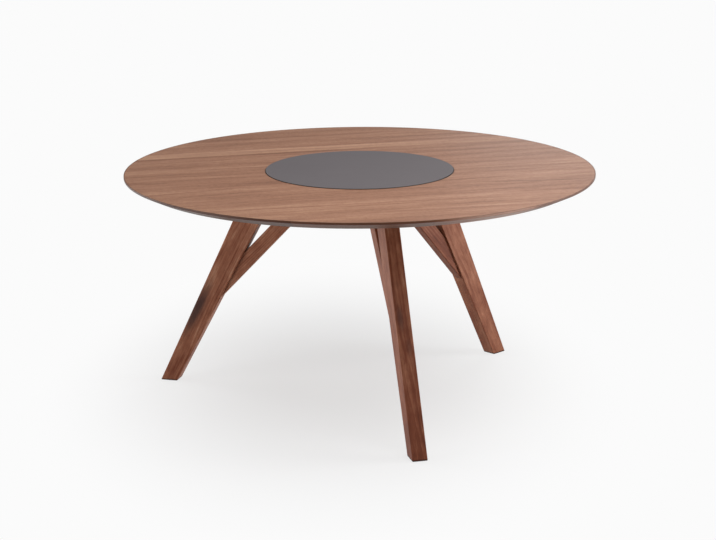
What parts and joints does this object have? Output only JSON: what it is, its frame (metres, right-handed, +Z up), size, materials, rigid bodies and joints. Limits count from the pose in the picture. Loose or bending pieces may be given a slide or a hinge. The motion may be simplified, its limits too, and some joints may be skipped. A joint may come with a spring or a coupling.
{
  "type": "round dining table with turntable",
  "caption": "Round walnut dining table on splayed, braced legs, with a matt grey turntable standing just proud in the middle of its bevelled top.",
  "frame": {"origin": "on the floor, below the centre of the round top", "axes": "+Z up, -Y towards the front leg, +X to the right when facing the front leg"},
  "size_m": [1.5, 1.4998, 0.752],
  "materials": {
    "walnut_veneer": "matt lacquered walnut veneer",
    "walnut_solid": "oiled solid walnut",
    "core_board": "fibreboard, stained black in the recess",
    "grey_facing": "smooth matt grey facing",
    "black_board": "through-dyed black fibreboard",
    "bearing_aluminium": "turned",
    "bright_steel": "zinc plated",
    "black_steel": "black powder coat",
    "brass": "machined",
    "nylon": "moulded",
    "black_plastic": "moulded",
    "beech": "fluted dowel rod"
  },
  "bodies": {
    "table": {"face_veneer": "walnut_veneer", "underside_veneer": "walnut_veneer", "edge_lipping": "walnut_solid", "leg_front": "walnut_solid", "leg_left": "walnut_solid", "leg_right": "walnut_solid", "brace_front": "walnut_solid", "brace_left": "walnut_solid", "brace_right": "walnut_solid", "core_upper_ring": "core_board", "core_lower_board": "core_board", "bearing_base_ring": "bearing_aluminium", "base_ring_screws": "bright_steel", "leg_bolts": "bright_steel", "brace_bolts": "bright_steel", "star_plate": "black_steel", "plate_screws": "black_steel", "top_inserts": "brass", "leg_inserts": "brass", "brace_inserts": "brass", "access_plug": "black_plastic", "foot_glide_front": "black_plastic", "foot_glide_left": "black_plastic", "foot_glide_right": "black_plastic", "brace_dowels": "beech"},
    "ball_row": {"ball_cage": "nylon", "bearing_balls": "bright_steel"},
    "turntable": {"bearing_turn_ring": "bearing_aluminium", "turn_ring_screws": "bright_steel", "turntable_board": "black_board", "turntable_facing": "grey_facing"}
  },
  "joints": [
    {"name": "turntable_spin", "type": "hinge", "parent": "table", "child": "turntable", "pos_m": [0, 0, 0.735], "axis": [0, 0, 1], "continuous": true},
    {"name": "ball_row_roll", "type": "hinge", "parent": "table", "child": "ball_row", "pos_m": [0, 0, 0.735], "axis": [0, 0, 1], "continuous": true}
  ],
  "couplings": [
    {"joint": "ball_row_roll", "follows": "turntable_spin", "ratio": 0.5}
  ]
}
